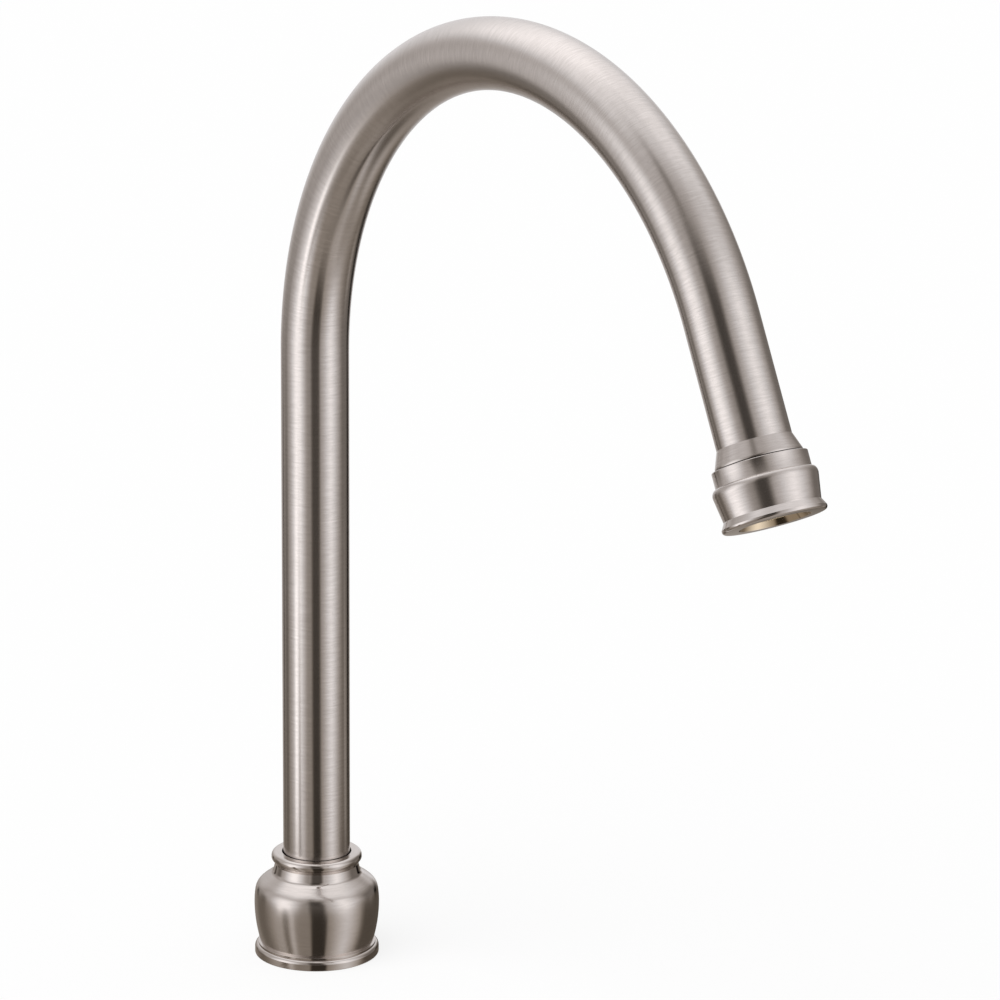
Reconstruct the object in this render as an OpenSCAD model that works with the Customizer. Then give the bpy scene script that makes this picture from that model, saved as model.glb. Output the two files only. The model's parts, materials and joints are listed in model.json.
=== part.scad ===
// Gooseneck bar faucet spout: a bent tube that swivels in a bell-shaped nut
// and ends in a screw-on aerator. The leg of the tube is the Z axis, the deck
// is z = 0, and the outlet points towards +X.

/* [Spout tube] */
// Outside diameter of the tube
tube_od = 22.2; // [20:0.1:26]
// Wall thickness of the tube
tube_wall = 1.2; // [0.8:0.1:1.6]
// Height above the deck at which the leg starts to bend
leg_h = 206; // [120:1:300]
// Radius of the bend, measured to the tube's centreline
bend_r = 111; // [60:1:140]
// Angle that the tube turns through between the leg and the outlet
bend_angle = 154; // [120:1:175]
// Straight run between the end of the bend and the outlet adapter
outlet_run = 36.3; // [30:0.1:60]

/* [Bell nut] */
// Least thickness of the bell's wall, at its waist
bell_wall = 1.65; // [1.4:0.05:3]
// How far the belly stands out from the waist
belly_swell = 1.9; // [0.5:0.1:3]
// How far the bead at the foot stands out from the waist
bead_proud = 1.8; // [1:0.1:3]
// Height of the bead
bead_h = 3.5; // [3:0.1:4]
// Height of the waist above the bead, over the thin ledge between them
waist_rise = 0.9; // [0.8:0.1:2]
// Height of the belly's widest ring above the deck
belly_z = 17.8; // [12:0.1:19]
// Radius of the rounded shoulder
shoulder_round = 4.33; // [2:0.01:5]
// Height of the neck's bore, from the bell's inner shoulder to its lip
neck_bore_h = 7.65; // [6.6:0.05:12]
// Least thickness of the neck's wall
neck_wall = 1.35; // [1:0.05:2]
// Height of the lip that closes the collar round the tube
lip_h = 2.1; // [1.4:0.1:3]
// How far the collar stands out from the neck
collar_proud = 1.15; // [0.6:0.05:2]
// Gap between the lip and the tube
lip_gap = 0.4; // [0.3:0.05:0.8]

/* [Socket] */
// Radius of the inlet thread's crests, for a G 1/2 tail
inlet_r = 9.3; // [7:0.1:9.8]
// Length of the inlet thread
inlet_h = 7.5; // [6:0.1:10]
// Thickness of the inlet washer
inlet_washer_t = 1.5; // [1:0.1:3]
// Thickness of the web between the inlet and the shank's bore
web_t = 1.5; // [1:0.1:3]
// Radius of the bore that the shank turns in
socket_bore_r = 9; // [8.4:0.1:9.2]
// Depth of the bore that the shank turns in
socket_bore_h = 10.9; // [9.6:0.1:14]
// Width of the step between the socket's thread and its top
socket_step = 1.85; // [1.2:0.05:3]
// Height of the socket's outside thread
socket_thread_h = 14; // [8:0.1:16]

/* [Shank] */
// Radius of the waterway through the shank and the socket's web
waterway_r = 6; // [4:0.1:6.2]
// How far the shank's flange stands out from the tube
flange_lip = 3.5; // [2:0.1:5]
// Thickness of the flange
flange_t = 2; // [1.4:0.1:3]
// Length of the plug that is brazed into the tube
plug_h = 12; // [6:0.1:20]
// Depth of the seal grooves
groove_depth = 1.35; // [1:0.05:1.5]
// Width of the seal grooves
groove_w = 2.4; // [1.8:0.1:2.8]
// Distance between the two seal grooves
groove_pitch = 4.2; // [3.4:0.1:4.8]
// Height of the lower groove above the shank's lower end
groove_z = 2.6; // [1.8:0.1:3]

/* [Bearings] */
// Thickness of the thrust washer under the flange
thrust_t = 0.95; // [0.6:0.05:2]
// Thickness of the friction washer over the flange
friction_t = 1.1; // [0.6:0.05:2]
// Thickness of the bush in the neck
bush_wall = 1.35; // [1:0.05:2]
// Width of the base gasket
gasket_w = 1.75; // [1:0.05:1.8]
// Thickness of the base gasket
gasket_t = 1.5; // [1:0.1:2]

/* [Outlet adapter] */
// Length of the adapter's cone
cone_h = 5; // [3:0.1:8]
// How far the cone's foot stands out from the tube
cone_flare = 1.85; // [1:0.05:2.4]
// Height of the cone's straight foot
cone_foot = 0.4; // [0.2:0.1:1]
// Length of the spigot that is brazed into the tube
spigot_h = 10; // [6:0.1:15]
// Radius of the adapter's waterway
adapter_bore_r = 8; // [6:0.1:8.4]
// Radius of the outlet thread's crests
thread_r = 10.9; // [10.4:0.1:11.2]
// Length of the neck that carries the outlet thread
thread_h = 6.5; // [5.5:0.1:9]
// Width of the thread's run-out groove
runout_w = 1.3; // [0.8:0.1:2]
// Depth of the thread's run-out groove
runout_depth = 0.7; // [0.3:0.1:1]

/* [Aerator shroud] */
// Gap between the adapter's cone and the shroud
seam = 0.3; // [0.2:0.05:0.6]
// Thickness of the upper ring's wall, outside the thread
ring_wall = 3.15; // [2.6:0.05:4]
// Height of the upper ring
ring_h = 4.7; // [3:0.1:6]
// How far the shoulder stands out from the upper ring
shoulder_proud = 1.4; // [0.6:0.1:2]
// Length of the rounded step up to the shoulder
shoulder_h = 2.3; // [1.8:0.1:3]
// Length of the tapered skirt
skirt_h = 7.4; // [4:0.1:10]
// How far the skirt draws in towards the rim
skirt_taper = 1.15; // [0.4:0.05:1.3]
// Height of the flared rim
rim_h = 3.4; // [2.6:0.1:4]
// Radius of the mouth at the rim
mouth_r = 10.7; // [10.4:0.1:12]
// Radius of the lip that holds the cartridge
keeper_r = 9.7; // [9.2:0.1:9.9]
// Thickness of the lip that holds the cartridge
keeper_t = 1; // [0.6:0.1:1.5]
// Depth of the countersunk mouth
mouth_depth = 1.8; // [1:0.1:2.4]

/* [Aerator cartridge] */
// Radius of the cartridge's housing
cartridge_r = 10.5; // [10.3:0.1:10.7]
// Wall of the cartridge's housing
cartridge_wall = 1; // [0.8:0.05:1.3]
// Thickness of the housing's floor
floor_t = 0.6; // [0.4:0.05:0.8]
// How far the housing's floor reaches in past the shroud's lip
floor_lip = 0.7; // [0.4:0.05:1]
// Thickness of the rubber washer on the cartridge
aerator_washer_t = 1.8; // [1:0.1:2.2]
// Thickness of the inlet screen
screen_t = 0.4; // [0.3:0.05:0.6]
// Thickness of the flow restrictor
restrictor_t = 1.4; // [1.2:0.1:1.6]
// Inner radius of the groove for the regulator's ring
regulator_r = 2.2; // [1.8:0.1:2.5]
// Radius of the circle of metering holes
metering_r = 6.2; // [5.9:0.1:7]
// Radius of one metering hole
metering_hole_r = 0.8; // [0.5:0.1:1]
// Thickness of the jet plate
jet_plate_t = 0.9; // [0.6:0.1:1.2]
// Thickness of one mesh screen
mesh_t = 0.3; // [0.2:0.05:0.4]
// Thickness of the outlet grid
grid_t = 1; // [0.8:0.1:1.2]
// Pitch of the outlet grid's cells
grid_pitch = 2; // [1.8:0.1:2.4]
// Thickness of the outlet grid's ribs
grid_rib = 0.35; // [0.25:0.05:0.5]

/* [Clearances] */
// Running clearance between a turning piece and its bore
run_gap = 0.05; // [0.03:0.01:0.08]
// Clearance of a brazed or pressed joint, and of a screwed one
joint_gap = 0.03; // [0.02:0.01:0.05]
// Clearance between a loose piece and its pocket
loose_gap = 0.15; // [0.1:0.05:0.3]
// Gap between the shank's lower end and the floor of its bore
end_gap = 0.3; // [0.2:0.05:0.5]
// Gap round the flange inside the bell
cavity_gap = 0.8; // [0.5:0.1:1.2]

/* [Hidden] */
$fn = 96;

nickel = "#b5aca4";
polished_nickel = "#bdb5ae";
brass = "#b99a5b";
rubber = "#26262a";
acetal = "#e4e2da";
steel_mesh = "#9aa0a4";
green = "#3f7f5f";

// Steps in one rounded corner of a turned outline
arc_steps = 8;
// A cut starts and ends this far outside the solid
over = 1;
// The straight outlet end is sized to a wall this much finer on each side, and
// runs this far into the bend, so that the two walls meet in a clean step
sizing = 0.02;
weld = 0.2;

// Radii of the swivel, worked outwards from the tube
tube_r = tube_od / 2;
tube_bore_r = tube_r - tube_wall;
flange_r = tube_r + flange_lip;
cavity_r = flange_r + cavity_gap;
socket_r = cavity_r + socket_step;
waist_r = socket_r + bell_wall;
belly_r = waist_r + belly_swell;
bead_r = waist_r + bead_proud;
waist_z = bead_h + waist_rise;
bush_bore_r = tube_r + run_gap;
neck_bore_r = bush_bore_r + bush_wall + joint_gap;
neck_r = neck_bore_r + neck_wall;
collar_r = neck_r + collar_proud;
lip_r = tube_r + lip_gap;

// Heights of the swivel, stacked up from the deck
washer_top = inlet_h + inlet_washer_t;
bore_floor = washer_top + web_t;
socket_top = bore_floor + socket_bore_h;
flange_z = socket_top + thrust_t + run_gap;
flange_top = flange_z + flange_t;
cavity_top = flange_top + run_gap + friction_t;
neck_top = cavity_top + neck_bore_h;
bell_h = neck_top + lip_h;
shank_r = socket_bore_r - run_gap;
shank_z = bore_floor + end_gap;
groove_root = shank_r - groove_depth;

// Stations along the outlet's axis, counted from the end of the bend
cone_z = outlet_run;
adapter_face = cone_z + cone_h + cone_foot;
adapter_end = adapter_face + thread_h;
shroud_z = adapter_face + seam;
shoulder_z = shroud_z + ring_h;
skirt_z = shoulder_z + shoulder_h;
rim_z = skirt_z + skirt_h;
shroud_end = rim_z + rim_h;
keeper_end = shroud_end - mouth_depth;
keeper_z = keeper_end - keeper_t;
ring_r = thread_r + joint_gap + run_gap + ring_wall;
shroud_r = ring_r + shoulder_proud;
groove_r = shroud_r - skirt_taper;
rim_r = shroud_r - run_gap;
cone_foot_r = tube_r + cone_flare;

// Stations of the cartridge, from the washer down to the lip that holds it
washer_z = adapter_end + run_gap;
housing_z = washer_z + aerator_washer_t;
housing_floor = keeper_z - floor_t;
pocket_r = cartridge_r - cartridge_wall;
disc_r = pocket_r - run_gap;
floor_bore_r = keeper_r - floor_lip;
screen_z = housing_z + joint_gap;
restrictor_z = screen_z + screen_t + joint_gap;
jet_plate_z = restrictor_z + restrictor_t + joint_gap;
grid_z = housing_floor - grid_t - joint_gap;
mesh_lower_z = grid_z - mesh_t - joint_gap;
mesh_upper_z = mesh_lower_z - mesh_t - 2 * joint_gap - mesh_t;

// ---- shared shapes ---------------------------------------------------------

// Points of an arc round the centre c, from angle a0 to angle a1
function arc(c, r, a0, a1) =
    [for (i = [0:arc_steps]) let (a = a0 + (a1 - a0) * i / arc_steps) c + r * [cos(a), sin(a)]];

// Moves a shape to the end of the bend, with its Z along the outlet's axis
module at_outlet() {
    translate([bend_r, 0, leg_h]) rotate([0, bend_angle, 0]) translate([-bend_r, 0, 0]) children();
}

// A turned ring with a square section, from z0 to z1
module ring(r_in, r_out, z0, z1) {
    rotate_extrude() translate([r_in, z0]) square([r_out - r_in, z1 - z0]);
}

// The same ring at the outlet
module outlet_ring(r_in, r_out, z0, z1) {
    at_outlet() ring(r_in, r_out, z0, z1);
}

// A round seal, squeezed flat between two radii
module squeezed_seal(r_in, r_out, w, z) {
    rotate_extrude() intersection() {
        translate([(r_in + r_out) / 2, z]) circle(d = w);
        translate([r_in, z - w / 2]) square([r_out - r_in, w]);
    }
}

// Centres of a honeycomb of cells, n rings about the middle
function honeycomb(n, pitch) = [
    for (i = [-n:n], j = [-n:n]) if (abs(i + j) <= n) pitch * [i + j / 2, j * sin(60)]
];

// A thin disc at the outlet, with round holes at the given centres
module pierced_disc(r, z, t, holes, hole_r) {
    at_outlet() translate([0, 0, z]) linear_extrude(t) difference() {
        circle(r = r);
        for (p = holes) translate(p) circle(r = hole_r, $fn = 24);
    }
}

// ---- swivel base -----------------------------------------------------------

// Outside of the bell, from the deck up to the collar's opening. Angles are those
// of the surface's outward normal, above the horizontal.
function bell_outline() =
    let (foot_round = 0.3, bead_round = 1.6, bead_turn = 72,
         ledge_w = 0.75, ledge_t = 0.55, ledge_z = bead_h + 0.1, ledge_edge = 0.08,
         belly_steps = 12, upper_steps = 3, upper_sag = 0.35,
         shoulder_top = cavity_top - 3.25, belly_normal = 8, cone_normal = 54, neck_normal = 12,
         shoulder_c = [belly_r - upper_sag, shoulder_top]
            - shoulder_round * [cos(belly_normal), sin(belly_normal)],
         cove_round = 2.07, neck_draft = 0.5, cove_top = cavity_top + 3.4,
         cove_c = [neck_r + neck_draft, cove_top] + cove_round * [cos(neck_normal), sin(neck_normal)],
         collar_round = 1.5, collar_under = 1.2, under_turn = -62, collar_z = bell_h - 1.9,
         neck_foot = bell_h - 4.1)
    concat(
        arc([bead_r - foot_round, foot_round], foot_round, -90, 0),
        arc([bead_r - bead_round, bead_h - bead_round], bead_round, 0, bead_turn),
        [[waist_r + ledge_w - ledge_edge, ledge_z], [waist_r + ledge_w, ledge_z + ledge_edge],
         [waist_r + ledge_w, ledge_z + ledge_t - ledge_edge],
         [waist_r + ledge_w - ledge_edge, ledge_z + ledge_t]],
        [for (i = [0:belly_steps]) let (t = i / belly_steps)
            [belly_r - belly_swell * pow(1 - t, 2), waist_z + (belly_z - waist_z) * t]],
        [for (i = [1:upper_steps - 1]) let (t = i / upper_steps)
            [belly_r - upper_sag * t * t, belly_z + (shoulder_top - belly_z) * t]],
        arc(shoulder_c, shoulder_round, belly_normal, cone_normal),
        arc(cove_c, cove_round, 180 + cone_normal, 180 + neck_normal),
        [[neck_r, neck_foot]],
        arc([collar_r - collar_under, collar_z], collar_under, under_turn, 0),
        arc([collar_r - collar_round, bell_h - collar_round], collar_round, 0, 90)
    );

// Inside of the bell, from the collar's opening down to the deck
function bell_bore() = [
    [lip_r, bell_h], [lip_r, neck_top], [neck_bore_r, neck_top], [neck_bore_r, cavity_top],
    [cavity_r, cavity_top], [cavity_r, socket_thread_h + over], [socket_r, socket_thread_h + over],
    [socket_r, gasket_t], [socket_r + gasket_w + loose_gap, gasket_t],
    [socket_r + gasket_w + loose_gap, 0]
];

module bell_nut() {
    color(polished_nickel) rotate_extrude() polygon(concat(bell_outline(), bell_bore()));
}

// The socket that the bell screws onto and the shank turns in
module spout_socket() {
    undercut_r = inlet_r + 2 * loose_gap;
    color(brass) rotate_extrude() polygon([
        [inlet_r, 0], [socket_r - joint_gap, 0], [socket_r - joint_gap, socket_thread_h],
        [cavity_r - loose_gap, socket_thread_h], [cavity_r - loose_gap, socket_top],
        [socket_bore_r, socket_top], [socket_bore_r, bore_floor], [waterway_r, bore_floor],
        [waterway_r, washer_top], [undercut_r, washer_top], [undercut_r, inlet_h],
        [inlet_r, inlet_h]
    ]);
}

module base_gasket() {
    color(rubber) ring(socket_r + loose_gap / 2, socket_r + gasket_w + loose_gap / 2, 0, gasket_t);
}

module inlet_washer() {
    color(rubber) ring(waterway_r + 2 * loose_gap, inlet_r + loose_gap, inlet_h, washer_top);
}

module thrust_washer() {
    color(acetal) ring(socket_bore_r + loose_gap, flange_r, socket_top, socket_top + thrust_t);
}

module friction_washer() {
    color(acetal) ring(tube_r + loose_gap, cavity_r - loose_gap, flange_top + run_gap, cavity_top);
}

// The bush that the tube turns in, held between the friction washer and the lip
module collar_bush() {
    color(rubber) ring(bush_bore_r, neck_bore_r - joint_gap, cavity_top, neck_top);
}

// ---- spout -----------------------------------------------------------------

module tube_section(finer = 0) {
    difference() {
        circle(r = tube_r - finer);
        circle(r = tube_bore_r + finer);
    }
}

module spout_tube() {
    color(nickel) union() {
        translate([0, 0, flange_top]) linear_extrude(leg_h - flange_top) tube_section();
        translate([bend_r, 0, leg_h]) rotate([90, 0, 180])
            rotate_extrude(angle = bend_angle) translate([bend_r, 0]) tube_section();
        at_outlet() translate([0, 0, -weld]) linear_extrude(cone_z + weld) tube_section(sizing);
    }
}

// Turned shank: seal grooves below, a flange that the bell traps, a plug above
module spout_shank() {
    lower = [shank_z + groove_z, shank_z + groove_z + groove_pitch];
    plug_r = tube_bore_r - joint_gap;
    color(brass) rotate_extrude() polygon(concat(
        [[waterway_r, shank_z], [shank_r, shank_z]],
        [for (z = lower, p = [[shank_r, -1], [groove_root, -1], [groove_root, 1], [shank_r, 1]])
            [p[0], z + p[1] * groove_w / 2]],
        [[shank_r, flange_z], [flange_r, flange_z], [flange_r, flange_top], [plug_r, flange_top],
         [plug_r, flange_top + plug_h], [waterway_r, flange_top + plug_h]]
    ));
}

// A seal in one of the shank's grooves, counted from the lowest
module shank_o_ring(i) {
    color(rubber) squeezed_seal(groove_root + joint_gap, shank_r, groove_w - 2 * loose_gap,
        shank_z + groove_z + i * groove_pitch);
}

module shank_o_ring_lower() {
    shank_o_ring(0);
}

module shank_o_ring_upper() {
    shank_o_ring(1);
}

// Turned adapter: a spigot in the tube, the cone that shows, and the threaded neck
module outlet_adapter() {
    edge = 0.3;
    spigot_r = tube_bore_r - joint_gap;
    color(nickel) at_outlet() rotate_extrude() polygon([
        [adapter_bore_r, cone_z - spigot_h], [spigot_r, cone_z - spigot_h], [spigot_r, cone_z],
        [tube_r, cone_z], [tube_r + cone_flare * 0.25, cone_z + cone_h * 0.25],
        [cone_foot_r, cone_z + cone_h], [cone_foot_r, adapter_face],
        [thread_r - runout_depth, adapter_face], [thread_r - runout_depth, adapter_face + runout_w],
        [thread_r, adapter_face + runout_w + edge], [thread_r, adapter_end - edge],
        [thread_r - edge, adapter_end], [adapter_bore_r, adapter_end]
    ]);
}

// ---- aerator ---------------------------------------------------------------

// Outside of the shroud, from the seam down to the mouth
function shroud_outline() =
    let (edge = 0.3, step = 0.2, crown = shoulder_h - step, rim_round = 0.9, rim_foot = 0.3)
    concat(
        [[ring_r - edge, shroud_z], [ring_r, shroud_z + edge], [ring_r, shoulder_z]],
        [for (i = [0:arc_steps]) let (a = 90 * i / arc_steps)
            [ring_r + step / 2 + (shroud_r - ring_r - step / 2) * sin(a),
             shoulder_z + step + crown * (1 - cos(a))]],
        [[groove_r, rim_z], [groove_r, rim_z + step],
         [rim_r, shroud_end - rim_round - rim_foot]],
        arc([rim_r - rim_round, shroud_end - rim_round], rim_round, 0, 90)
    );

module aerator_shroud() {
    bore_r = thread_r + joint_gap + run_gap;
    color(polished_nickel) at_outlet() rotate_extrude() polygon(concat(
        shroud_outline(),
        [[mouth_r, shroud_end], [keeper_r, keeper_end], [keeper_r, keeper_z],
         [bore_r, keeper_z], [bore_r, shroud_z]]
    ));
}

module aerator_washer() {
    color(rubber) outlet_ring(adapter_bore_r, cartridge_r, washer_z, housing_z);
}

// The cup that holds the discs, with a floor that the shroud's lip carries
module cartridge_housing() {
    color(acetal) at_outlet() rotate_extrude() polygon([
        [pocket_r, housing_z], [cartridge_r, housing_z], [cartridge_r, keeper_z],
        [floor_bore_r, keeper_z], [floor_bore_r, housing_floor], [pocket_r, housing_floor]
    ]);
}

module inlet_screen() {
    rings = 3;
    pitch = 2.3;
    hole_r = 0.7;
    color(steel_mesh) pierced_disc(disc_r, screen_z, screen_t, honeycomb(rings, pitch), hole_r);
}

// The plate that carries the regulator's ring over a row of metering holes
module flow_restrictor() {
    color(green) difference() {
        pierced_disc(disc_r, restrictor_z, restrictor_t,
            [for (a = [0:45:315]) metering_r * [cos(a), sin(a)]], metering_hole_r);
        at_outlet() ring(regulator_r, 2 * regulator_r, restrictor_z - over,
            restrictor_z + restrictor_t / 2);
    }
}

module regulator_o_ring() {
    color(rubber) at_outlet() squeezed_seal(regulator_r + loose_gap, 2 * regulator_r - loose_gap,
        restrictor_t / 2 - 2 * joint_gap, restrictor_z + restrictor_t / 4);
}

module jet_plate() {
    jet_r = 0.4;
    rows = [5, 7.4];
    color(acetal) pierced_disc(disc_r, jet_plate_z, jet_plate_t,
        [for (r = rows, a = [0:20:340]) r * [cos(a), sin(a)]], jet_r);
}

module mesh_screen(z) {
    rings = 4;
    pitch = 1.9;
    hole_r = 0.65;
    color(steel_mesh) pierced_disc(disc_r, z, mesh_t, honeycomb(rings, pitch), hole_r);
}

module mesh_screen_upper() {
    mesh_screen(mesh_upper_z);
}

module mesh_screen_lower() {
    mesh_screen(mesh_lower_z);
}

// The honeycomb that straightens the stream, which shows in the mouth
module outlet_grid() {
    rings = 3;
    color(acetal) at_outlet() translate([0, 0, grid_z]) linear_extrude(grid_t) difference() {
        circle(r = disc_r);
        for (p = honeycomb(rings, grid_pitch)) translate(p)
            rotate(30) circle(r = (grid_pitch - grid_rib) / (2 * cos(30)), $fn = 6);
    }
}

bell_nut();
spout_socket();
base_gasket();
inlet_washer();
thrust_washer();
friction_washer();
collar_bush();
spout_tube();
spout_shank();
shank_o_ring_lower();
shank_o_ring_upper();
outlet_adapter();
aerator_shroud();
aerator_washer();
cartridge_housing();
inlet_screen();
flow_restrictor();
regulator_o_ring();
jet_plate();
mesh_screen_upper();
mesh_screen_lower();
outlet_grid();
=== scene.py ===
import json
import math

import bpy
from mathutils import Matrix, Vector

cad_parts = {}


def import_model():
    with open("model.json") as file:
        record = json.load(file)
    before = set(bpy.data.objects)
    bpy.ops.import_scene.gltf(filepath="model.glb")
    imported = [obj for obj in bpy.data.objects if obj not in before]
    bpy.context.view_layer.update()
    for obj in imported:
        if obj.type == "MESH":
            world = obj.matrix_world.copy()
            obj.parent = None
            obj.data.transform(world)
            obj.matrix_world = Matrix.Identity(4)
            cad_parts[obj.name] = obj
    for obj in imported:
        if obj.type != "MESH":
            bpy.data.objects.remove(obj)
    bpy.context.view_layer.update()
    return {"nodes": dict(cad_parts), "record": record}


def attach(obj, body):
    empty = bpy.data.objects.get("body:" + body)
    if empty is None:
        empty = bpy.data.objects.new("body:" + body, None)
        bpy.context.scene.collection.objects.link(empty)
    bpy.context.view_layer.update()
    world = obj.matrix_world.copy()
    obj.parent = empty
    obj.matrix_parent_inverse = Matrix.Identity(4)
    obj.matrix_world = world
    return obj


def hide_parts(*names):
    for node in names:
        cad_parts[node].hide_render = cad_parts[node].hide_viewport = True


# A gooseneck spout in brushed and polished nickel, on a pale floor. Finer meshes stand in for
# the four plated pieces, and a dome of cards gives their metal a room to reflect.
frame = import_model()

MM = 0.001  # a millimetre, in Blender's metres
NEAR = 0.01  # radii or heights as close as this are the same one, in millimetres

# ---- sizes, repeated from the part's source, in millimetres and degrees --------
# The tube: its radii, its leg, its bend and its straight run to the outlet's cone
TUBE_R, BORE_R = 11.1, 9.9
TUBE_FOOT, LEG_H, BEND_R, BEND_ANGLE, OUTLET_RUN = 24.4, 206.0, 111.0, 154.0, 36.3

# The bell nut: its radii outside, its radii inside, and heights above the deck
NECK_R, COLLAR_R, WAIST_R, BEAD_R, BELLY_R = 13.88, 15.03, 18.9, 20.7, 20.8
LIP_R, NECK_BORE_R, CAVITY_R, SOCKET_R, GASKET_R = 11.5, 12.53, 15.4, 17.25, 19.15
GASKET_T, BEAD_H, WAIST_Z, THREAD_TOP, BELLY_Z = 1.5, 3.5, 4.4, 15.0, 17.8
CAVITY_TOP, NECK_TOP, BELL_H = 25.55, 33.2, 35.3

# The outlet adapter: the spigot in the tube, the cone, then the neck that carries the thread.
# Stations along the outlet's axis count from the end of the bend
SPIGOT_R, SPIGOT_H, CONE_H, CONE_FOOT, CONE_FLARE = 9.87, 10.0, 5.0, 0.4, 1.85
ADAPTER_BORE_R, RUNOUT_R, RUNOUT_W, THREAD_R, THREAD_H = 8.0, 10.2, 1.3, 10.9, 6.5
ADAPTER_FACE = OUTLET_RUN + CONE_H + CONE_FOOT
ADAPTER_END = ADAPTER_FACE + THREAD_H

# The aerator shroud: its radii outside and inside, then its stations
RING_R, SHROUD_R, GROOVE_R, RIM_R = 14.13, 15.53, 14.38, 15.48
MOUTH_R, KEEPER_R, SHROUD_BORE_R = 10.7, 9.7, 10.98
SHROUD_Z, SHOULDER_Z, SKIRT_Z, RIM_Z, SHROUD_END = 42.0, 46.7, 49.0, 56.4, 59.8
KEEPER_Z, KEEPER_END = 57.0, 58.0

# ---- camera --------------------------------------------------------------------
# Its angles, its distance in metres, its lens and sensor in millimetres, and what it aims at
AZIMUTH, ELEVATION, ROLL = math.radians(54.261), math.radians(14.687), math.radians(0.4113)
DISTANCE, LENS, SENSOR = 1.41512, 165.54, 36.0
TARGET = Vector((0.103158, 0.0, 0.178306))


def add_camera():
    """A long lens at the photograph's viewing angle."""
    back = Vector((math.sin(AZIMUTH) * math.cos(ELEVATION),
                   -math.cos(AZIMUTH) * math.cos(ELEVATION), math.sin(ELEVATION)))
    right = (-back).cross(Vector((0, 0, 1))).normalized()
    up = right.cross(-back).normalized()
    x_axis = math.cos(ROLL) * right + math.sin(ROLL) * up
    y_axis = math.cos(ROLL) * up - math.sin(ROLL) * right
    data = bpy.data.cameras.new("camera")
    data.lens, data.sensor_width, data.sensor_fit = LENS, SENSOR, "AUTO"
    data.clip_start, data.clip_end = 0.05, 50.0
    camera = bpy.data.objects.new("camera", data)
    bpy.context.scene.collection.objects.link(camera)
    turn = Matrix((x_axis, y_axis, back)).transposed().to_4x4()
    camera.matrix_world = Matrix.Translation(TARGET + back * DISTANCE) @ turn
    bpy.context.scene.camera = camera


# ---- node trees ----------------------------------------------------------------
class Tree:
    """A short way to write a node tree."""

    def __init__(self, owner):
        owner.use_nodes = True
        self.tree = owner.node_tree
        self.tree.nodes.clear()

    def connect(self, made, inputs):
        """Sets each input to a plain value or links it to another node's output."""
        for key, value in inputs.items():
            if isinstance(value, bpy.types.NodeSocket):
                self.tree.links.new(value, made.inputs[key])
            else:
                made.inputs[key].default_value = value

    def node(self, kind, inputs=None, **settings):
        made = self.tree.nodes.new(kind)
        for key, value in settings.items():
            setattr(made, key, value)
        self.connect(made, inputs or {})
        return made

    def maths(self, operation, a, b=0.0):
        return self.node("ShaderNodeMath", {0: a, 1: b}, operation=operation).outputs[0]

    def shares(self, *parts):
        """The sum of some values, each times its share."""
        total, *others = [self.maths("MULTIPLY", value, share) for value, share in parts]
        for part in others:
            total = self.maths("ADD", total, part)
        return total

    def spread(self, value, low, high, to_low=0.0, to_high=1.0):
        return self.node("ShaderNodeMapRange", {"Value": value, "From Min": low, "From Max": high,
                                                "To Min": to_low, "To Max": to_high}).outputs[0]

    def scaled(self, vector, scale):
        return self.node("ShaderNodeMapping", {"Vector": vector, "Scale": scale}).outputs[0]

    def noise(self, vector, scale=1.0, detail=2.0, rough=0.5):
        return self.node("ShaderNodeTexNoise", {"Vector": vector, "Scale": scale, "Detail": detail,
                                                "Roughness": rough}).outputs["Fac"]

    def blend(self, factor, a, b):
        made = self.node("ShaderNodeMix", data_type="RGBA")
        self.connect(made, {0: factor, 6: a, 7: b})
        return made.outputs[2]

    def bump(self, height, depth):
        return self.node("ShaderNodeBump", {"Height": height, "Distance": depth}).outputs[0]

    def mark(self, name):
        """A value that the mesh holds at its points."""
        return self.node("ShaderNodeAttribute", attribute_name=name).outputs["Fac"]

    def place(self):
        return self.node("ShaderNodeTexCoord").outputs["Object"]

    def seen_plainly(self):
        """1 for rays from the camera, and for those that gloss or glass sends on."""
        path = self.node("ShaderNodeLightPath").outputs
        sent_on = self.maths("MAXIMUM", path["Is Glossy Ray"], path["Is Transmission Ray"])
        return self.maths("MAXIMUM", path["Is Camera Ray"], sent_on)

    def surface(self, shader):
        self.node("ShaderNodeOutputMaterial", {"Surface": shader.outputs[0]})


def colour(r, g, b):
    return (r, g, b, 1.0)


# ---- metals --------------------------------------------------------------------
# Scales of the brushing, in cycles a millimetre round the piece (x, y) and along it (z)
LINES, STROKES = (0.16, 0.16, 2.6), (0.20, 0.20, 1.82)
CLOUDS, PITS = (0.05, 0.05, 0.12), (0.9, 0.9, 1.3)
ROUGH_SPREAD = 0.015
POLISHED = 0.35  # share of the roughness that polish leaves
# The second colour is painted shade: near black, laid on faces inside the narrow gaps between
# parts, where shade falls.
UNPLATED, PAINTED_SHADE = colour(0.70, 0.58, 0.42), colour(0.03, 0.028, 0.026)


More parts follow.
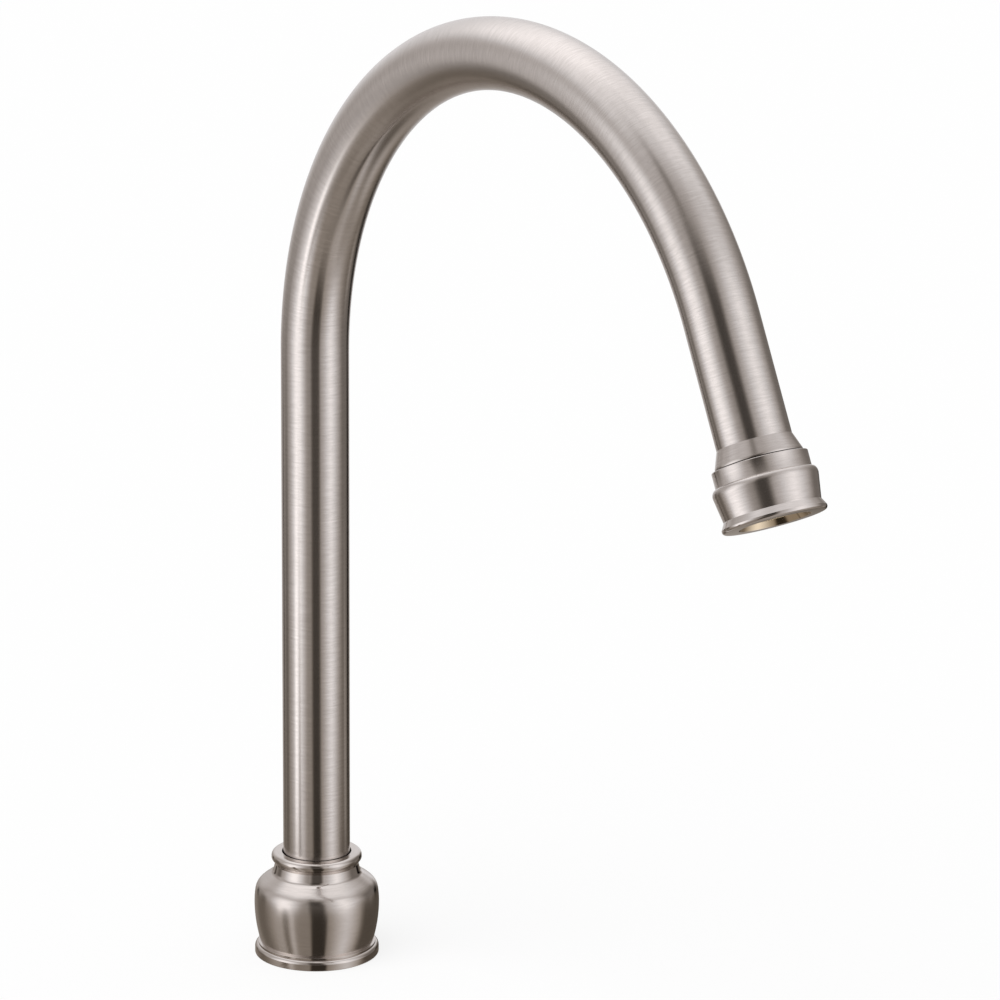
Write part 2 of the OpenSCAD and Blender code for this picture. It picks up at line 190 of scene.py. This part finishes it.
def turned_metal(name, light, dark, rough, aniso, depth, marks):
    """Brushed metal. Its grain runs round the piece, from the mesh's own 'grain' points,
    which count millimetres round the axis in x and y and along it in z. The mesh's marks
    say where it is polished or unplated, and where painted shade darkens it inside a narrow gap."""
    material = bpy.data.materials.new(name)
    t = Tree(material)
    place = t.node("ShaderNodeAttribute", attribute_name="grain").outputs["Vector"]
    lines = t.noise(t.scaled(place, LINES), detail=3.0, rough=0.6)
    strokes = t.noise(t.scaled(place, STROKES), rough=0.6)
    clouds = t.noise(t.scaled(place, CLOUDS))
    pits = t.noise(t.scaled(place, PITS), detail=1.0)

    tone = t.spread(t.shares((lines, 0.25), (clouds, 0.15), (strokes, 0.6)), 0.36, 0.64)
    tone = t.maths("SUBTRACT", tone, t.spread(pits, 0.70, 0.76, 0.0, marks))
    base = t.blend(tone, colour(*dark), colour(*light))
    base = t.blend(t.mark("unplated"), base, UNPLATED)
    # Painted shade: near black over the colour where a narrow gap between parts would be in shade.
    base = t.blend(t.mark("painted_shade"), base, PAINTED_SHADE)
    roughness = t.spread(t.shares((strokes, 0.6), (clouds, 0.4)), 0.35, 0.65,
                         rough + ROUGH_SPREAD, rough - ROUGH_SPREAD)
    roughness = t.maths("MULTIPLY", roughness, t.spread(t.mark("polish"), 0.0, 1.0, 1.0, POLISHED))

    tangent = t.node("ShaderNodeTangent", direction_type="UV_MAP", uv_map="UVMap")
    t.surface(t.node("ShaderNodeBsdfPrincipled", {
        "Base Color": base, "Metallic": 1.0, "Roughness": roughness,
        "Normal": t.bump(t.shares((lines, 0.5), (strokes, 0.5)), depth),
        "Anisotropic": aniso, "Anisotropic Rotation": 0.25, "Tangent": tangent.outputs[0]}))
    return material


def brass():
    """Turned brass, with fine tool lines and a slight tarnish."""
    material = bpy.data.materials.new("turned_brass")
    t = Tree(material)
    place = t.place()
    lines = t.noise(t.scaled(place, (60, 60, 5200)))
    stain = t.noise(place, 130.0, 4.0, 0.6)
    base = t.blend(t.spread(stain, 0.4, 0.7), colour(0.66, 0.50, 0.25), colour(0.50, 0.35, 0.17))
    t.surface(t.node("ShaderNodeBsdfPrincipled", {
        "Base Color": base, "Metallic": 1.0, "Roughness": t.spread(stain, 0.3, 0.7, 0.22, 0.36),
        "Normal": t.bump(lines, 0.00002)}))
    return material


def steel_mesh():
    """Etched stainless sheet with a fine woven tone."""
    material = bpy.data.materials.new("etched_steel")
    t = Tree(material)
    place = t.place()
    weave = t.node("ShaderNodeTexWave", {"Vector": place, "Scale": 900.0, "Distortion": 0.6})
    cloud = t.noise(place, 400.0, 3.0)
    base = t.blend(t.spread(cloud, 0.35, 0.65), colour(0.50, 0.51, 0.52), colour(0.40, 0.41, 0.42))
    t.surface(t.node("ShaderNodeBsdfPrincipled", {
        "Base Color": base, "Metallic": 1.0, "Roughness": t.spread(cloud, 0.3, 0.7, 0.28, 0.42),
        "Normal": t.bump(weave.outputs["Fac"], 0.00003)}))
    return material


# ---- plastics and rubber -------------------------------------------------------
def moulded(name, light, dark, rough, fine, depth):
    """Moulded plastic or rubber: a faint cloud in the colour and a fine pebble."""
    material = bpy.data.materials.new(name)
    t = Tree(material)
    place = t.place()
    cloud = t.noise(place, 160.0, 3.0, 0.6)
    base = t.blend(t.spread(cloud, 0.35, 0.65), colour(*light), colour(*dark))
    t.surface(t.node("ShaderNodeBsdfPrincipled", {
        "Base Color": base, "Roughness": t.spread(cloud, 0.3, 0.7, rough - 0.05, rough + 0.07),
        "Normal": t.bump(t.noise(place, fine), depth), "IOR": 1.48}))
    return material


# ---- mesh making ---------------------------------------------------------------
def at_outlet():
    """The matrix that sets a piece's z along the outlet's axis, from the end of the bend."""
    turn = Matrix.Rotation(math.radians(BEND_ANGLE), 4, "Y")
    return (Matrix.Translation(Vector((BEND_R, 0, LEG_H)) * MM) @ turn
            @ Matrix.Translation(Vector((-BEND_R, 0, 0)) * MM))


def polar(centre, r, angle):
    """The point of an outline at this distance and angle, in degrees, from the centre."""
    a = math.radians(angle)
    return (centre[0] + r * math.cos(a), centre[1] + r * math.sin(a))


def arc(centre, r, start, end, steps):
    return [polar(centre, r, start + (end - start) * i / steps) for i in range(steps + 1)]


def sharp_corners(points, limit=28.0):
    """Which points of a closed outline turn more sharply than the limit, in degrees."""
    found = []
    for i, b in enumerate(points):
        a, c = points[i - 1], points[(i + 1) % len(points)]
        first = math.atan2(b[1] - a[1], b[0] - a[0])
        second = math.atan2(c[1] - b[1], c[0] - b[0])
        turn = (second - first + math.pi) % (2 * math.pi) - math.pi
        found.append(abs(math.degrees(turn)) > limit)
    return found


def ring_faces(rings, segments, closed):
    """The faces between neighbouring rings of points. A closed set joins its last ring to
    its first."""
    faces = []
    for i in range(rings if closed else rings - 1):
        low, high = i * segments, (i + 1) % rings * segments
        for j in range(segments):
            k = (j + 1) % segments
            faces.append((low + j, low + k, high + k, high + j))
    return faces


def grid_mesh(name, rings, along, around, sharp, radius, marked=None):
    """A closed mesh from rings of points. along gives each ring's place in millimetres on
    its outline, around each point's angle, and sharp the rings with a hard edge. marked
    holds named values for each ring."""
    n, m = len(rings), len(around)
    mesh = bpy.data.meshes.new(name)
    mesh.from_pydata([p for ring in rings for p in ring], [], ring_faces(n, m, True))
    mesh.update()
    uv = mesh.uv_layers.new(name="UVMap")
    for face in mesh.polygons:
        i, j = divmod(face.index, m)
        ends = ((i, j), (i, j + 1), (i + 1, j + 1), (i + 1, j))
        for loop, (a, b) in zip(face.loop_indices, ends):
            uv.data[loop].uv = (b / m, along[a] / along[-1])
    grain = mesh.attributes.new("grain", "FLOAT_VECTOR", "POINT")
    for i, r in enumerate(radius):
        for j, a in enumerate(around):
            grain.data[i * m + j].vector = (r * math.cos(a), r * math.sin(a), along[i])
    for label, values in (marked or {}).items():
        layer = mesh.attributes.new(label, "FLOAT", "POINT")
        layer.data.foreach_set("value", [value for value in values for _ in range(m)])
    mesh.polygons.foreach_set("use_smooth", [True] * len(mesh.polygons))
    hard = mesh.attributes.new("sharp_edge", "BOOLEAN", "EDGE")
    for edge in mesh.edges:
        a, b = edge.vertices
        hard.data[edge.index].value = a // m == b // m and sharp[a // m]
    piece = bpy.data.objects.new(name, mesh)
    bpy.context.scene.collection.objects.link(piece)
    return piece


def round_angles(segments):
    return [2 * math.pi * j / segments for j in range(segments)]


def lathe(name, outline, place=Matrix.Identity(4), marked=None):
    """Turns a closed outline of (radius, height) points in millimetres about the z axis."""
    around = round_angles(256)
    rings = [[place @ (Vector((r * math.cos(a), r * math.sin(a), z)) * MM) for a in around]
             for r, z in outline]
    along = [0.0]
    for a, b in zip(outline, outline[1:] + outline[:1]):
        along.append(along[-1] + math.dist(a, b))
    return grid_mesh(name, rings, along, around, sharp_corners(outline),
                     [r for r, z in outline], marked)


def tube_path():
    """Stations of the tube's centreline: each one's point, its direction across the tube in
    the bend's plane, and its length along the tube."""
    leg_steps, bend_steps, run_steps = 48, 154, 12
    leg = LEG_H - TUBE_FOOT
    stations = []
    for i in range(leg_steps + 1):
        z = TUBE_FOOT + leg * i / leg_steps
        stations.append((Vector((0, 0, z)), Vector((1, 0, 0)), z - TUBE_FOOT))
    for i in range(1, bend_steps + 1):
        a = math.radians(BEND_ANGLE * i / bend_steps)
        point = Vector((BEND_R - BEND_R * math.cos(a), 0, LEG_H + BEND_R * math.sin(a)))
        stations.append((point, Vector((math.cos(a), 0, -math.sin(a))), leg + BEND_R * a))
    end, across, length = stations[-1]
    a = math.radians(BEND_ANGLE)
    ahead = Vector((math.sin(a), 0, math.cos(a)))
    for i in range(1, run_steps + 1):
        s = OUTLET_RUN * i / run_steps
        stations.append((end + ahead * s, across, length + s))
    return stations


def spout_tube():
    """The bent tube, with its outer wall, its bore and its two faces."""
    around = round_angles(192)
    stations = tube_path()
    walls = [(s, TUBE_R) for s in stations] + [(s, BORE_R) for s in reversed(stations)]
    rings, along = [], [0.0]
    for (point, across, _), r in walls:
        rings.append([(point + r * (across * math.cos(a) + Vector((0, 1, 0)) * math.sin(a))) * MM
                      for a in around])
    for (a, a_r), (b, b_r) in zip(walls, walls[1:] + walls[:1]):
        along.append(along[-1] + math.hypot(b[2] - a[2], b_r - a_r))
    n = len(stations)
    sharp = [i in (0, n - 1, n, 2 * n - 1) for i in range(2 * n)]
    return grid_mesh("spout_tube_brushed", rings, along, around, sharp, [r for _, r in walls])


# ---- outlines ------------------------------------------------------------------
def eased(points, reach=1.8, step=0.15, samples=12):
    """The same line with its bends eased over the reach to each side, and its ends kept."""
    run = [0.0]
    for a, b in zip(points, points[1:]):
        run.append(run[-1] + math.dist(a, b))
    length = run[-1]

    def heading(place):
        """The line's direction at a place along it, held at the ends."""
        place = min(max(place, 0.0), length - 1e-6)
        i = next(k for k in range(len(run)) if run[k + 1] > place)
        return math.atan2(points[i + 1][1] - points[i][1], points[i + 1][0] - points[i][0])

    count = round(length / step)
    weights = [(reach * i / samples, samples + 1 - abs(i)) for i in range(-samples, samples + 1)]
    line = [points[0]]
    for k in range(count):
        middle = length * (k + 0.5) / count
        turn = sum(w * heading(middle + off) for off, w in weights) / sum(w for _, w in weights)
        line.append((line[-1][0] + length / count * math.cos(turn),
                     line[-1][1] + length / count * math.sin(turn)))
    miss = (points[-1][0] - line[-1][0], points[-1][1] - line[-1][1])
    return [(r + miss[0] * k / count, z + miss[1] * k / count) for k, (r, z) in enumerate(line)]


def bell_outline():
    """Outside of the bell, from the deck up to the collar's opening. Angles are those of the
    surface's outward normal above the horizontal, in degrees."""
    foot_round, bead_round, bead_turn = 0.3, 1.6, 72
    ledge_r, ledge_z, ledge_t, ledge_edge = WAIST_R + 0.75, BEAD_H + 0.1, 0.55, 0.08
    belly_swell, belly_steps, upper_sag, upper_steps = 1.9, 28, 0.35, 9
    shoulder_top, shoulder_round, belly_normal, cone_normal = CAVITY_TOP - 3.25, 4.33, 8, 54
    cove_top, cove_round, neck_draft, neck_normal = CAVITY_TOP + 3.4, 2.07, 0.5, 12
    neck_foot, collar_z = BELL_H - 4.1, BELL_H - 1.9
    collar_round, collar_under, under_turn = 1.5, 1.2, -62
    shoulder_c = polar((BELLY_R - upper_sag, shoulder_top), -shoulder_round, belly_normal)
    cove_c = polar((NECK_R + neck_draft, cove_top), cove_round, neck_normal)

    outside = arc((BEAD_R - foot_round, foot_round), foot_round, -90, 0, 8)
    outside += arc((BEAD_R - bead_round, BEAD_H - bead_round), bead_round, 0, bead_turn, 20)
    outside += arc((ledge_r - ledge_edge, ledge_z + ledge_edge), ledge_edge, -90, 0, 4)
    outside += arc((ledge_r - ledge_edge, ledge_z + ledge_t - ledge_edge), ledge_edge, 0, 90, 4)
    outside += [(BELLY_R - belly_swell * (1 - i / belly_steps) ** 2,
                 WAIST_Z + (BELLY_Z - WAIST_Z) * i / belly_steps) for i in range(belly_steps)]
    upper = [(BELLY_R - upper_sag * (i / upper_steps) ** 2,
              BELLY_Z + (shoulder_top - BELLY_Z) * i / upper_steps) for i in range(upper_steps)]
    shoulder = arc(shoulder_c, shoulder_round, belly_normal, cone_normal, 26)
    cove = arc(cove_c, cove_round, 180 + cone_normal, 180 + neck_normal, 20)
    outside += eased(upper + shoulder + cove[:1]) + cove[1:]
    outside += [(NECK_R, neck_foot)]
    outside += arc((COLLAR_R - collar_under, collar_z), collar_under, under_turn, 0, 18)
    outside += arc((COLLAR_R - collar_round, BELL_H - collar_round), collar_round, 0, 90, 22)
    return outside


def bell_nut():
    """The bell, satin from its waist to its shoulder and polished elsewhere, with painted shade
    on the lip's bore, standing for the shade of the gap round the tube."""
    lip_edge = 0.1
    satin_foot, satin_top, satin_r = WAIST_Z - 0.05, CAVITY_TOP + 1.65, CAVITY_R + 0.1
    inside = [(LIP_R + lip_edge, BELL_H), (LIP_R, BELL_H - lip_edge), (LIP_R, NECK_TOP),
              (NECK_BORE_R, NECK_TOP), (NECK_BORE_R, CAVITY_TOP), (CAVITY_R, CAVITY_TOP),
              (CAVITY_R, THREAD_TOP), (SOCKET_R, THREAD_TOP), (SOCKET_R, GASKET_T),
              (GASKET_R, GASKET_T), (GASKET_R, 0.0)]
    outline = bell_outline() + inside
    polish = [0.0 if satin_foot < z < satin_top and r > satin_r else 1.0 for r, z in outline]
    # Painted shade on the lip's bore, for the gap round the tube.
    painted_shade = [1.0 if r < LIP_R + NEAR else 0.0 for r, z in outline]
    return lathe("bell_nut_polished", outline, marked={"polish": polish, "painted_shade": painted_shade})


def outlet_adapter():
    """The cone, its spigot in the tube, and the unplated neck that carries the thread. The
    face that the shroud closes on has painted shade, standing for the shade of their gap."""
    steps, face_edge, chamfer = 12, (0.02, 0.1), 0.3
    flank = TUBE_R + CONE_FLARE
    outline = [(ADAPTER_BORE_R, OUTLET_RUN - SPIGOT_H), (SPIGOT_R, OUTLET_RUN - SPIGOT_H),
               (SPIGOT_R, OUTLET_RUN)]
    outline += [(TUBE_R + CONE_FLARE * (i / steps), OUTLET_RUN + CONE_H * (i / steps))
                for i in range(steps + 1)]
    outline += [(flank, ADAPTER_FACE - face_edge[1]), (flank - face_edge[0], ADAPTER_FACE),
                (RUNOUT_R, ADAPTER_FACE), (RUNOUT_R, ADAPTER_FACE + RUNOUT_W),
                (THREAD_R, ADAPTER_FACE + RUNOUT_W + chamfer), (THREAD_R, ADAPTER_END - chamfer),
                (THREAD_R - chamfer, ADAPTER_END), (ADAPTER_BORE_R, ADAPTER_END)]
    # Painted shade on the face that the shroud closes on.
    painted_shade = [1.0 if abs(z - ADAPTER_FACE) < NEAR else 0.0 for r, z in outline]
    unplated = [1.0 if z > ADAPTER_FACE + NEAR else 0.0 for r, z in outline]
    return lathe("outlet_adapter_brushed", outline, at_outlet(),
                 marked={"painted_shade": painted_shade, "unplated": unplated})


def aerator_shroud():
    """The upper ring, the rounded shoulder, the tapered skirt and the flared rim, with the
    unplated bore and the lip that holds the cartridge. The top's inner part has painted
    shade, standing for the shade of its gap."""
    ring_edge, step, crown_steps = 0.3, 0.2, 24
    groove_w, flare_z, rim_round, mouth_edge = 0.2, SHROUD_END - 1.2, 0.9, (0.05, 0.1)
    # The first is how far out the top's painted shade reaches, in millimetres.
    painted_shade_r, rim_polish = 12.9, 0.7
    crown_r, crown_z, crown_h = RING_R + step / 2, SHOULDER_Z + step, SKIRT_Z - SHOULDER_Z - step
    outline = arc((RING_R - ring_edge, SHROUD_Z + ring_edge), ring_edge, -90, 0, 6)
    outline += [(RING_R, SHOULDER_Z)]
    for i in range(crown_steps + 1):
        a = math.radians(90 * i / crown_steps)
        outline.append((crown_r + (SHROUD_R - crown_r) * math.sin(a),
                        crown_z + crown_h * (1 - math.cos(a))))
    outline += [(GROOVE_R, RIM_Z), (GROOVE_R, RIM_Z + groove_w), (RIM_R, flare_z)]
    outline += arc((RIM_R - rim_round, SHROUD_END - rim_round), rim_round, 0, 90, 12)
    outline += [(MOUTH_R, SHROUD_END), (MOUTH_R - mouth_edge[0], SHROUD_END - mouth_edge[1]),
                (KEEPER_R, KEEPER_END), (KEEPER_R, KEEPER_Z), (SHROUD_BORE_R, KEEPER_Z),
                (SHROUD_BORE_R, SHROUD_Z), (painted_shade_r, SHROUD_Z)]
    unplated = [1.0 if r < MOUTH_R - NEAR or (r < SHROUD_BORE_R + NEAR and z < KEEPER_Z + NEAR)
                else 0.0 for r, z in outline]
    polish = [rim_polish if z > RIM_Z + NEAR else 0.0 for r, z in outline]
    # Painted shade on the inner part of the top, for the gap over the adapter's face.
    painted_shade = [1.0 if z < SHROUD_Z + NEAR and r < painted_shade_r + NEAR else 0.0 for r, z in outline]
    return lathe("aerator_shroud_satin", outline, at_outlet(),
                 marked={"unplated": unplated, "polish": polish, "painted_shade": painted_shade})


# ---- studio --------------------------------------------------------------------
# Azimuths count from the camera's side of the object, positive to the image's right.
FRONT = math.atan2(-math.cos(AZIMUTH), math.sin(AZIMUTH))
AROUND = 360  # points in each ring of a card

# The dome of cards round the object. Its light turns browner as it goes down below WARM_TOP
DOME_R, DOME_CENTRE = 0.8, Vector((0.1, 0, 0.17))
WARM_TOP, WARM_FALL = -10, 20
ROOM = 0.55  # the level where no card lies
# name, azimuth, half width, soft edge, lowest and highest elevation, soft edge, level
CARDS = [
    ("back opening", 163, 23.1, 12.7, -24, 90, 8, 0.83),
    ("ceiling", 0, 180.0, 1.0, 46, 90, 16, 1.08),
    ("front ceiling", 1, 56.3, 36.9, 31, 73, 16, 0.42),
    ("left back ceiling", -154, 39.7, 26.3, 35, 80, 12, 1.42),
    ("table", 0, 180.0, 1.0, -90, -18, 14, 0.33),
    ("table far right", 134, 18.6, 12.2, -78, -40, 10, 0.56),
    ("table front", 32, 22.3, 12.0, -63, -37, 10, 0.50),
    ("left wall", -139, 18.7, 9.8, -61, 26, 15, 0.26),
    ("right wall", 130, 27.5, 13.8, -42, 24, 18, 0.20),
    ("back board", 175, 14.8, 6.2, 1, 19, 5, 0.78),
    ("left column", -117, 8.9, 6.6, -53, -6, 11, 0.15),
    ("right column", 155, 9.7, 4.4, -34, 0, 7, 0.12),
    ("left high", -161, 24.2, 34.8, -6, 47, 22, 0.91),
    ("right high", 59, 32.6, 19.6, 21, 62, 13, 0.62),
    ("left softbox", -67, 19.6, 16.6, -28, 26, 15, 1.30),
    ("left softbox peak", -64, 8, 7, -21, -8, 5, 1.48),
    ("left softbox core", -76, 5, 5, -27, -18, 3, 2.00),
    ("left softbox seam", -64, 3.0, 2.0, -58, -21, 4, 0.15),
    ("right softbox", 58, 18.9, 23.5, -34, 45, 16, 1.21),
    ("camera flag", -2, 17.3, 5.8, -36, 16, 8, 0.10),
    ("upper flag", -6, 17.3, 8.2, 6, 46, 14, 0.06),
    ("front gap", -25, 6.4, 9.5, -42, 25, 11, 0.34),
    ("camera", -1, 13, 4, -36, -20, 4, 0.03),
    ("cone flag", -24, 10, 9, 55, 64, 4, 0.15),
    ("left edge light", -151, 5, 4, -28, -9, 4, 0.45),
    ("left edge", -138, 4, 3, -28, -9, 4, 0.06),
    ("right edge", 149, 7, 3, -27, -8, 3, 0.0),
    ("right strip", 127, 5, 4, -30, -20, 3, 0.42),
]

# The table close round the bell, whose tones differ from those farther out: the radii
# between which it lies, the reach over which it fades, and its height, in millimetres
TABLE_HOLE, TABLE_REACH, TABLE_FADE, TABLE_Z = 20.9, 180.0, 110.0, -0.03
TABLE = 0.28  # the level where no card lies
# name, azimuth, half width, soft edge, level
TABLE_CARDS = [
    ("left light", -64, 24, 12, 0.42),
    ("left dark", -122, 18, 12, 0.17),
    ("left seam", -58, 6, 3, 0.20),
    ("left strip", -45, 4, 4, 0.56),
    ("right light", 61, 20, 24, 0.74),
    ("right dark", 136, 40, 10, 0.10),
    ("camera flag", 7, 15, 3.5, 0.04),
]

# Colours of the cards' light: dim, dim and warm, and bright
DIM, DIM_WARM, BRIGHT = colour(1.0, 0.885, 0.79), colour(1.0, 0.83, 0.66), colour(1.0, 0.99, 1.01)


def ramp(x):
    """A smooth step from 0 to 1."""
    x = min(1.0, max(0.0, x))
    return x * x * (3 - 2 * x)


def covered(azimuth, centre, half, soft):
    """How far a card covers an azimuth. Its edges are soft, and one of half width 180 goes
    all the way round."""
    off = abs((azimuth - centre + 180) % 360 - 180)
    return ramp((half + soft - off) / (2 * soft)) if half < 180 else 1.0


def room_level(azimuth, elevation):
    """The dome's level in one direction, with each card laid over those before it."""
    level = ROOM
    for _, centre, half, soft, low, high, rise, value in CARDS:
        cover = covered(azimuth, centre, half, soft)
        cover *= ramp((elevation - low) / (2 * rise) + 0.5 if low > -90 else 1.0)
        cover *= ramp((high - elevation) / (2 * rise) + 0.5)
        level += (value - level) * cover
    return level


def table_level(azimuth):
    """The table's level in one direction, laid over in the same way."""
    level = TABLE
    for _, centre, half, soft, value in TABLE_CARDS:
        level += (value - level) * covered(azimuth, centre, half, soft)
    return level


def mirrored_azimuth(azimuth, r):
    """The azimuth of the ray that the bell's belly sends from the camera to this place on
    the table, in degrees."""
    widest, halvings = 88.0, 24
    low, high = -widest, widest
    for _ in range(halvings):
        facing = (low + high) / 2
        f = math.radians(facing)
        run = math.sqrt(r * r - (BELLY_R * math.sin(f)) ** 2) - BELLY_R * math.cos(f)
        place = math.degrees(math.atan2(BELLY_R * math.sin(f) + run * math.sin(2 * f),
                                        BELLY_R * math.cos(f) + run * math.cos(2 * f)))
        if place < azimuth:
            low = facing
        else:
            high = facing
    return 2 * facing


def card_light():
    """Light whose level is the mesh's own 'tone', browner where it is dim and 'warm', and
    clear where it has no 'cover'."""
    material = bpy.data.materials.new("card_light")
    t = Tree(material)
    tone = t.mark("tone")
    tint = t.blend(t.spread(tone, 0.05, 0.80), t.blend(t.mark("warm"), DIM, DIM_WARM), BRIGHT)
    glow = t.node("ShaderNodeEmission", {"Color": tint, "Strength": tone})
    clear = t.node("ShaderNodeBsdfTransparent")
    t.surface(t.node("ShaderNodeMixShader", {0: t.mark("cover"), 1: clear.outputs[0],
                                             2: glow.outputs[0]}))
    return material


def mirror_card(name, verts, faces, values, material):
    """A card that only the metal's reflections see. values holds each point's tone, warm
    and cover."""
    mesh = bpy.data.meshes.new(name)
    mesh.from_pydata(verts, [], faces)
    for label, column in zip(("tone", "warm", "cover"), zip(*values)):
        mesh.attributes.new(label, "FLOAT", "POINT").data.foreach_set("value", column)
    mesh.materials.append(material)
    card = bpy.data.objects.new(name, mesh)
    bpy.context.scene.collection.objects.link(card)
    card.visible_camera = card.visible_diffuse = card.visible_shadow = False
    card.visible_transmission = card.visible_volume_scatter = False


def dome_card(material):
    """The cards round the object, left open wherever the white background should show."""
    up = 180
    verts, values = [], []
    for i in range(up + 1):
        elevation = -90 + 180 * i / up
        e = math.radians(elevation)
        for j in range(AROUND):
            azimuth = -180 + 360 * j / AROUND
            a = FRONT + math.radians(azimuth)
            verts.append(DOME_CENTRE + DOME_R * Vector((math.cos(e) * math.cos(a),
                                                        math.cos(e) * math.sin(a), math.sin(e))))
            values.append((room_level(azimuth, elevation),
                           ramp((WARM_TOP - elevation) / WARM_FALL), 1.0))
    faces = [face for face in ring_faces(up + 1, AROUND, False)
             if any(abs(values[k][0] - 1.0) > 0.01 for k in face)]
    mirror_card("studio_cards", verts, faces, values, material)


def table_card(material):
    """The table round the bell's foot, on rings that widen by an even factor."""
    spaces = 14
    verts, values = [], []
    for i in range(spaces + 1):
        r = TABLE_HOLE * (TABLE_REACH / TABLE_HOLE) ** (i / spaces)
        for j in range(AROUND):
            azimuth = -180 + 360 * j / AROUND
            a = FRONT + math.radians(azimuth)
            verts.append(Vector((r * math.cos(a), r * math.sin(a), TABLE_Z)) * MM)
            values.append((table_level(mirrored_azimuth(azimuth, r)), 1.0,
                           ramp((TABLE_REACH - r) / TABLE_FADE)))
    faces = [(low_j, high_j, high_k, low_k)
             for low_j, low_k, high_k, high_j in ring_faces(spaces + 1, AROUND, False)]
    mirror_card("table_card", verts, faces, values, material)


def world():
    """White to the camera and to reflections, and a plain level of light on the object."""
    plain_level = 0.62
    studio = bpy.data.worlds.new("studio")
    bpy.context.scene.world = studio
    t = Tree(studio)
    strength = t.spread(t.seen_plainly(), 0.0, 1.0, plain_level, 1.0)
    back = t.node("ShaderNodeBackground", {"Color": colour(1, 1, 1), "Strength": strength})
    t.node("ShaderNodeOutputWorld", {"Surface": back.outputs[0]})


def floor():
    """A pale round floor just under the object's foot. It glows white to the camera by the
    glow's share, and takes the object's shadow with the rest."""
    radius, z, sides, glow_share = 5, -0.00005, 96, 0.8
    mesh = bpy.data.meshes.new("floor")
    ring = [(radius * math.cos(a), radius * math.sin(a), z) for a in round_angles(sides)]
    mesh.from_pydata(ring, [], [tuple(range(sides))])
    plane = bpy.data.objects.new("floor", mesh)
    bpy.context.scene.collection.objects.link(plane)
    material = bpy.data.materials.new("pale_floor")
    t = Tree(material)
    paper = t.node("ShaderNodeBsdfDiffuse", {"Color": colour(0.9, 0.9, 0.9)})
    glow = t.node("ShaderNodeEmission", {"Color": colour(1, 1, 1), "Strength": 1.0})
    t.surface(t.node("ShaderNodeMixShader", {0: t.maths("MULTIPLY", t.seen_plainly(), glow_share),
                                             1: paper.outputs[0], 2: glow.outputs[0]}))
    mesh.materials.append(material)
    plane.visible_glossy = False


def lamp():
    """One large soft lamp from above the camera's left."""
    energy, size, left = 1.7, math.radians(50), math.radians(50)
    sideways, upwards = 0.7, 1.1
    data = bpy.data.lights.new("soft_lamp", "SUN")
    data.energy, data.angle = energy, size
    light = bpy.data.objects.new("soft_lamp", data)
    bpy.context.scene.collection.objects.link(light)
    a = FRONT - left
    away = Vector((math.cos(a) * sideways, math.sin(a) * sideways, upwards))
    light.rotation_euler = away.to_track_quat("Z", "Y").to_euler()
    light.visible_glossy = False


# ---- dressing ------------------------------------------------------------------
def dress():
    """Lays the finer meshes over their nodes, and gives the other nodes their materials."""
    tube_metal = turned_metal("brushed_nickel", (0.705, 0.658, 0.626), (0.615, 0.572, 0.540),
                              rough=0.20, aniso=0.8, depth=0.000008, marks=0.8)
    bell_metal = turned_metal("polished_nickel", (0.695, 0.645, 0.610), (0.640, 0.592, 0.556),
                              rough=0.19, aniso=0.8, depth=0.000004, marks=0.3)
    tip_metal = turned_metal("satin_nickel", (0.700, 0.652, 0.620), (0.630, 0.584, 0.552),
                             rough=0.20, aniso=0.6, depth=0.000005, marks=0.3)
    pieces = [
        (spout_tube(), "spout_tube", "spout", "brushed_nickel", tube_metal),
        (bell_nut(), "bell_nut", "base", "polished_nickel", bell_metal),
        (outlet_adapter(), "outlet_adapter", "spout", "brushed_nickel", tip_metal),
        (aerator_shroud(), "aerator_shroud", "shroud", "polished_nickel", tip_metal),
    ]
    for piece, node, body, slot, material in pieces:
        piece.data.materials.append(material)
        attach(piece, body)
        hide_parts(node)

    finishes = {
        "raw_brass": brass(),
        "steel_mesh": steel_mesh(),
        "black_rubber": moulded("black_rubber", (0.030, 0.030, 0.032), (0.018, 0.018, 0.019),
                                rough=0.60, fine=2500, depth=0.00002),
        "black_acetal": moulded("black_acetal", (0.040, 0.039, 0.038), (0.026, 0.025, 0.025),
                                rough=0.38, fine=1800, depth=0.00001),
        "white_acetal": moulded("white_acetal", (0.80, 0.78, 0.72), (0.74, 0.71, 0.64),
                                rough=0.40, fine=1800, depth=0.00001),
        "green_acetal": moulded("green_acetal", (0.10, 0.33, 0.21), (0.07, 0.26, 0.16),
                                rough=0.40, fine=1800, depth=0.00001),
    }
    slots = {p["node"]: p["material_slot"] for p in frame["record"]["subparts"]}
    for name, node in frame["nodes"].items():
        if slots[name] in finishes:
            node.data.materials.clear()
            node.data.materials.append(finishes[slots[name]])


add_camera()
world()
floor()
cards = card_light()
dome_card(cards)
table_card(cards)
lamp()
dress()
bpy.context.scene.view_settings.view_transform = "Standard"
